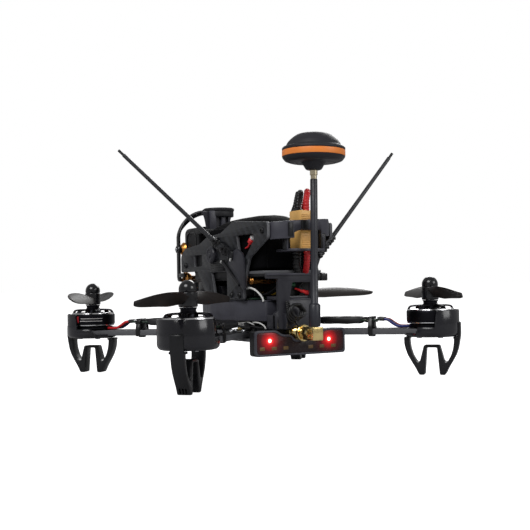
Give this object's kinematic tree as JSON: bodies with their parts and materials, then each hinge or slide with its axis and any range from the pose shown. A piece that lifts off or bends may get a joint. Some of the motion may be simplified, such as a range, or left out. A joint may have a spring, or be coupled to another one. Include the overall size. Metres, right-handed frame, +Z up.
{
  "type": "quadcopter drone",
  "caption": "Racing quadcopter with an X of carbon arms, guarded motors, two-blade propellers, W-shaped legs, tilting camera, tail light and mushroom antenna.",
  "frame": {"origin": "centre of the bottom plate's underside", "axes": "+Z up, +Y forward (the camera's side), +X to the right"},
  "size_m": [0.2559, 0.2616, 0.1322],
  "materials": {
    "carbon": "woven carbon sheet, satin, grey weave",
    "moulded": "moulded blue-grey nylon, satin",
    "leg_plastic": "moulded black nylon, satin",
    "copper": "enamelled copper windings on a steel core",
    "bell_black": "black anodised aluminium with bright rims",
    "shrink": "black heat-shrink, soft gloss",
    "nut": "black anodised, satin",
    "smoked_plastic": "smoked translucent plastic",
    "circuit": "green circuit board",
    "gold": "gold-plated or gold-anodised, polished",
    "battery": "black film wrap, satin",
    "connector": "tan nylon",
    "wire_red": "red silicone sleeve",
    "wire_black": "black silicone sleeve",
    "camera_plastic": "moulded black, satin",
    "lens_glass": "black lens barrel with coated glass",
    "smoked_lens": "smoked red-tinted cover",
    "mast": "grey-black sleeve",
    "mushroom": "black shell with an orange band"
  },
  "bodies": {
    "airframe": {"arm_front_left": "carbon", "motor_guard_front_left": "moulded", "landing_leg_front_left": "leg_plastic", "stator_front_left": "copper", "speed_controller_front_left": "shrink", "arm_front_right": "carbon", "motor_guard_front_right": "moulded", "landing_leg_front_right": "leg_plastic", "stator_front_right": "copper", "speed_controller_front_right": "shrink", "arm_rear_left": "carbon", "motor_guard_rear_left": "moulded", "landing_leg_rear_left": "leg_plastic", "stator_rear_left": "copper", "speed_controller_rear_left": "shrink", "arm_rear_right": "carbon", "motor_guard_rear_right": "moulded", "landing_leg_rear_right": "leg_plastic", "stator_rear_right": "copper", "speed_controller_rear_right": "shrink", "bottom_plate": "carbon", "flight_controller": "circuit", "video_transmitter": "shrink", "lower_cover": "moulded", "side_plate_left": "carbon", "side_plate_right": "carbon", "upper_deck": "carbon", "rear_bracket": "moulded", "connector_guard": "moulded", "rear_standoff": "gold", "front_standoff": "gold", "battery_pack": "battery", "battery_plug": "connector", "power_socket": "connector", "battery_lead_red": "wire_red", "battery_lead_black": "wire_black", "front_hoop": "moulded", "camera_hood": "moulded", "tail_light_housing": "leg_plastic", "tail_light_lens": "smoked_lens", "antenna_socket": "gold", "receiver_antenna_left": "wire_black", "receiver_antenna_right": "wire_black"},
    "rotor_front_left": {"motor_bell_front_left": "bell_black", "propeller_front_left": "smoked_plastic", "prop_nut_front_left": "nut"},
    "rotor_front_right": {"motor_bell_front_right": "bell_black", "propeller_front_right": "smoked_plastic", "prop_nut_front_right": "nut"},
    "rotor_rear_left": {"motor_bell_rear_left": "bell_black", "propeller_rear_left": "smoked_plastic", "prop_nut_rear_left": "nut"},
    "rotor_rear_right": {"motor_bell_rear_right": "bell_black", "propeller_rear_right": "smoked_plastic", "prop_nut_rear_right": "nut"},
    "camera": {"camera_housing": "camera_plastic", "camera_lens": "lens_glass"},
    "video_antenna": {"antenna_elbow": "gold", "antenna_mast": "mast", "antenna_mushroom": "mushroom"}
  },
  "joints": [
    {"name": "spin_front_left", "type": "hinge", "parent": "airframe", "child": "rotor_front_left", "pos_m": [-0.07389, 0.07389, 0.02], "axis": [0, 0, 1], "continuous": true},
    {"name": "spin_front_right", "type": "hinge", "parent": "airframe", "child": "rotor_front_right", "pos_m": [0.07389, 0.07389, 0.02], "axis": [0, 0, 1], "continuous": true},
    {"name": "spin_rear_left", "type": "hinge", "parent": "airframe", "child": "rotor_rear_left", "pos_m": [-0.07389, -0.07389, 0.02], "axis": [0, 0, 1], "continuous": true},
    {"name": "spin_rear_right", "type": "hinge", "parent": "airframe", "child": "rotor_rear_right", "pos_m": [0.07389, -0.07389, 0.02], "axis": [0, 0, 1], "continuous": true},
    {"name": "camera_tilt", "type": "hinge", "parent": "airframe", "child": "camera", "pos_m": [0, 0.0642, 0.0554], "axis": [1, 0, 0], "range_deg": [-15, 28]},
    {"name": "antenna_swing", "type": "hinge", "parent": "airframe", "child": "video_antenna", "pos_m": [0, -0.07, 0.0051], "axis": [0, 1, 0], "range_deg": [-15, 15]}
  ]
}
